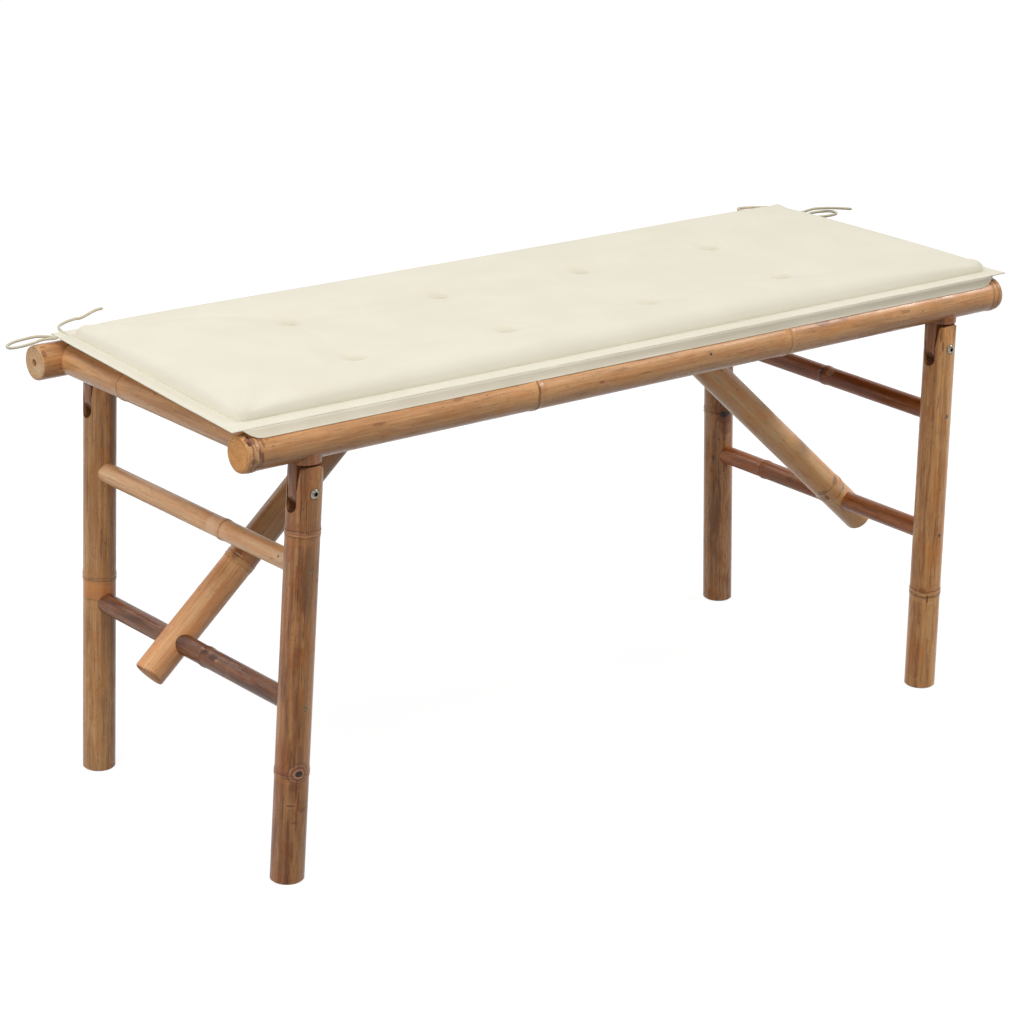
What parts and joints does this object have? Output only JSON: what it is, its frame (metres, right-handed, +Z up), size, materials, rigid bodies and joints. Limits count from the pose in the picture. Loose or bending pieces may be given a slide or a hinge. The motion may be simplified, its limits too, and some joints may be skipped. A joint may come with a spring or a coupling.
{
  "type": "folding garden bench",
  "caption": "Backless folding bamboo bench with round-pole frame, leg frames that fold inward on bolted fork hinges, diagonal hooked braces and a thin tufted seat cushion with tie cords.",
  "frame": {"origin": "centre of the bench's box on the floor", "axes": "+X along the bench to the right, +Y from front to back, +Z up"},
  "size_m": [1.0944, 0.3982, 0.4919],
  "materials": {
    "bamboo": "satin lacquer",
    "bamboo_dark": "satin lacquer",
    "steel": "zinc plated",
    "cushion_fabric": "matt woven",
    "tie_cord": "matt woven"
  },
  "bodies": {
    "seat": {"front_rail": "bamboo", "back_rail": "bamboo", "left_side_rail": "bamboo", "right_side_rail": "bamboo", "left_hook_bar": "bamboo", "right_hook_bar": "bamboo", "left_end_bearer": "bamboo", "right_end_bearer": "bamboo", "slat_1": "bamboo", "slat_2": "bamboo", "slat_3": "bamboo", "slat_4": "bamboo", "slat_5": "bamboo", "front_left_post": "bamboo", "back_left_post": "bamboo", "front_right_post": "bamboo", "back_right_post": "bamboo", "corner_dowels": "bamboo_dark", "post_screws": "steel", "slat_nails": "steel", "seat_cushion": "cushion_fabric", "left_tie_loop": "tie_cord", "left_tie_tail": "tie_cord", "right_tie_loop": "tie_cord", "right_tie_tail": "tie_cord", "right_tie_end": "tie_cord"},
    "left_leg_frame": {"front_left_leg": "bamboo", "back_left_leg": "bamboo", "left_upper_crossbar": "bamboo", "left_lower_crossbar": "bamboo_dark", "left_crossbar_nails": "steel", "left_hinge_bolts": "steel", "left_hinge_nuts": "steel"},
    "left_brace": {"left_brace": "bamboo"},
    "right_leg_frame": {"front_right_leg": "bamboo", "back_right_leg": "bamboo", "right_upper_crossbar": "bamboo", "right_lower_crossbar": "bamboo_dark", "right_crossbar_nails": "steel", "right_hinge_bolts": "steel", "right_hinge_nuts": "steel"},
    "right_brace": {"right_brace": "bamboo"}
  },
  "joints": [
    {"name": "left_fold", "type": "hinge", "parent": "seat", "child": "left_leg_frame", "pos_m": [-0.424, 0, 0.401], "axis": [0, -1, 0], "range_deg": [0, 90]},
    {"name": "left_brace_turn", "type": "hinge", "parent": "left_leg_frame", "child": "left_brace", "pos_m": [-0.43103, 0, 0.184], "axis": [0, 1, 0], "range_deg": [0, 131.7]},
    {"name": "right_fold", "type": "hinge", "parent": "seat", "child": "right_leg_frame", "pos_m": [0.424, 0, 0.401], "axis": [0, 1, 0], "range_deg": [0, 90]},
    {"name": "right_brace_turn", "type": "hinge", "parent": "right_leg_frame", "child": "right_brace", "pos_m": [0.43103, 0, 0.184], "axis": [0, -1, 0], "range_deg": [0, 131.7]}
  ],
  "couplings": [
    {"joint": "left_brace_turn", "follows": "left_fold", "ratio": 1.4633},
    {"joint": "right_brace_turn", "follows": "right_fold", "ratio": 1.4633}
  ]
}
